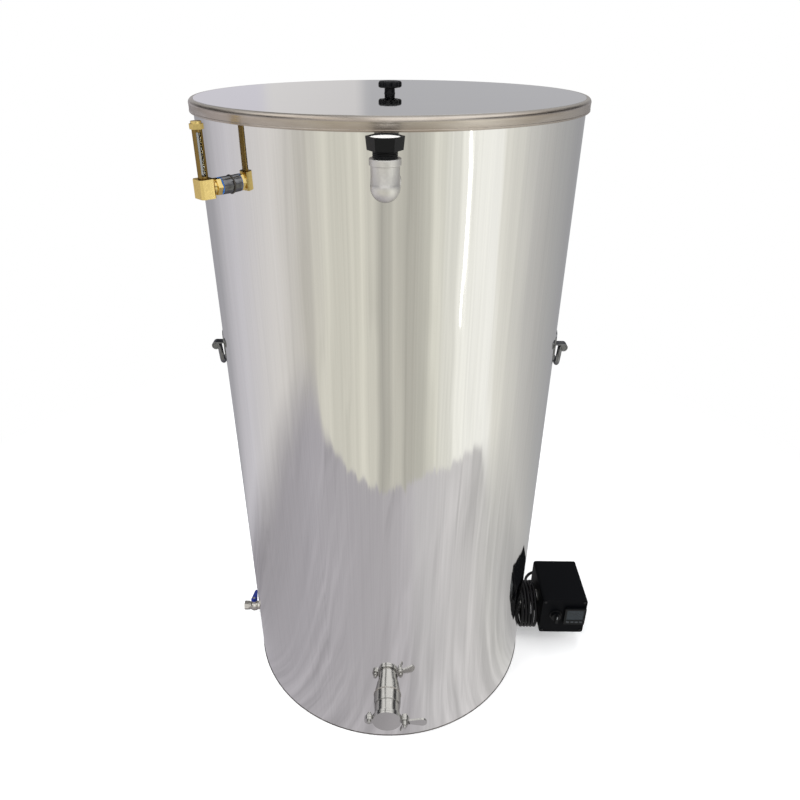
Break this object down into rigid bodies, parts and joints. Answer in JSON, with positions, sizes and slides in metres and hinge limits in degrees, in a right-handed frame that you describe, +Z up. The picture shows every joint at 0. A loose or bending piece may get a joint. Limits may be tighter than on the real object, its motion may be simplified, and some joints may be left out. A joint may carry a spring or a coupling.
{
  "type": "honey settling tank",
  "caption": "Tall round stainless tank with a heated water jacket, a swing gate at the foot to draw honey off, a level gauge, bail handles and a lift-off lid.",
  "frame": {"origin": "centre of the base, on the floor", "axes": "+Z up along the tank's axis, -Y towards the honey gate at the front, +X towards the control box"},
  "size_m": [0.8036, 0.6856, 1.2],
  "materials": {
    "mirror_steel": "mirror polished stainless steel",
    "sheet_steel": "bright stainless steel",
    "cast_steel": "cast stainless steel, satin",
    "dark_steel": "dark oxide",
    "nickel": "nickel plate",
    "brass": "turned brass",
    "black_plastic": "moulded, satin",
    "dark_plastic": "moulded, satin",
    "key_plastic": "moulded, satin",
    "display_plastic": "clear window, unlit",
    "white_plastic": "gloss",
    "white_rubber": "food rubber",
    "blue_rubber": "thread seal",
    "blue_paint": "plastic dip",
    "cord_rubber": "matt",
    "glass": "clear tube"
  },
  "bodies": {
    "tank": {"outer_wall": "mirror_steel", "base_plate": "mirror_steel", "vessel_wall": "sheet_steel", "vessel_bottom": "sheet_steel", "vessel_posts": "sheet_steel", "top_ring": "sheet_steel", "outlet_pipe": "sheet_steel", "outlet_collar": "sheet_steel", "gate_body": "cast_steel", "gate_seal": "white_rubber", "gate_pivot_screw": "sheet_steel", "gate_pivot_nut": "sheet_steel", "gate_clamp_bolt": "sheet_steel", "fill_nipple": "sheet_steel", "fill_elbow": "cast_steel", "sight_coupling": "sheet_steel", "sight_seal_ring": "blue_rubber", "sight_nipple": "brass", "sight_elbow": "brass", "sight_guard": "brass", "sight_glass": "glass", "sight_cap": "brass", "drain_coupling": "sheet_steel", "drain_valve_body": "nickel", "drain_valve_end": "nickel", "left_handle_plate": "sheet_steel", "right_handle_plate": "sheet_steel", "heater_coupling": "sheet_steel", "heater_plug": "cast_steel", "heating_element": "dark_steel", "temperature_probe": "sheet_steel", "control_box": "dark_plastic", "control_panel": "dark_plastic", "panel_screws": "dark_steel", "controller": "black_plastic", "display_window": "display_plastic", "selector_switch": "black_plastic", "cord_gland": "dark_plastic", "cord_lead": "cord_rubber", "cord_coil": "cord_rubber", "power_plug": "cord_rubber", "plug_blades": "brass"},
    "lid": {"lid_panel": "mirror_steel", "lid_band": "mirror_steel", "lid_knob": "black_plastic", "lid_knob_screw": "sheet_steel"},
    "gate_plate": {"gate_plate": "cast_steel"},
    "gate_wing_nut": {"gate_wing_nut": "sheet_steel"},
    "fill_plug": {"fill_plug": "black_plastic", "fill_vent_disc": "white_plastic"},
    "drain_lever": {"drain_ball": "nickel", "drain_lever": "blue_paint", "drain_lever_nut": "nickel"},
    "left_handle_bail": {"left_handle_bail": "sheet_steel"},
    "right_handle_bail": {"right_handle_bail": "sheet_steel"},
    "key_1": {"key_1": "key_plastic"},
    "key_2": {"key_2": "key_plastic"},
    "key_3": {"key_3": "key_plastic"},
    "key_4": {"key_4": "key_plastic"},
    "selector_knob": {"selector_knob": "dark_plastic"}
  },
  "joints": [
    {"name": "lid_lift", "type": "slide", "parent": "tank", "child": "lid", "axis": [0, 0, 1], "range_m": [0, 0.35]},
    {"name": "gate_swing", "type": "hinge", "parent": "tank", "child": "gate_plate", "pos_m": [-0.034, -0.3593, 0.126], "axis": [0, -1, 0], "range_deg": [0, 90]},
    {"name": "wing_nut_turn", "type": "hinge", "parent": "tank", "child": "gate_wing_nut", "pos_m": [0.034, -0.366, 0.126], "axis": [0, -1, 0], "continuous": true},
    {"name": "fill_plug_lift", "type": "slide", "parent": "tank", "child": "fill_plug", "axis": [0, 0, 1], "range_m": [0, 0.06]},
    {"name": "drain_turn", "type": "hinge", "parent": "tank", "child": "drain_lever", "pos_m": [-0.328, 0, 0.046], "axis": [0, 0, 1], "range_deg": [0, 90]},
    {"name": "left_bail_swing", "type": "hinge", "parent": "tank", "child": "left_handle_bail", "pos_m": [-0.317, 0, 0.766], "axis": [0, 1, 0], "range_deg": [0, 85]},
    {"name": "right_bail_swing", "type": "hinge", "parent": "tank", "child": "right_handle_bail", "pos_m": [0.317, 0, 0.766], "axis": [0, -1, 0], "range_deg": [0, 85]},
    {"name": "key_1_press", "type": "slide", "parent": "tank", "child": "key_1", "axis": [0, 1, 0], "range_m": [0, 0.0008], "stiffness_N_per_m": 1500},
    {"name": "key_2_press", "type": "slide", "parent": "tank", "child": "key_2", "axis": [0, 1, 0], "range_m": [0, 0.0008], "stiffness_N_per_m": 1500},
    {"name": "key_3_press", "type": "slide", "parent": "tank", "child": "key_3", "axis": [0, 1, 0], "range_m": [0, 0.0008], "stiffness_N_per_m": 1500},
    {"name": "key_4_press", "type": "slide", "parent": "tank", "child": "key_4", "axis": [0, 1, 0], "range_m": [0, 0.0008], "stiffness_N_per_m": 1500},
    {"name": "selector_turn", "type": "hinge", "parent": "tank", "child": "selector_knob", "pos_m": [0.383, -0.07, 0.094], "axis": [0, -1, 0], "range_deg": [-90, 0]}
  ]
}
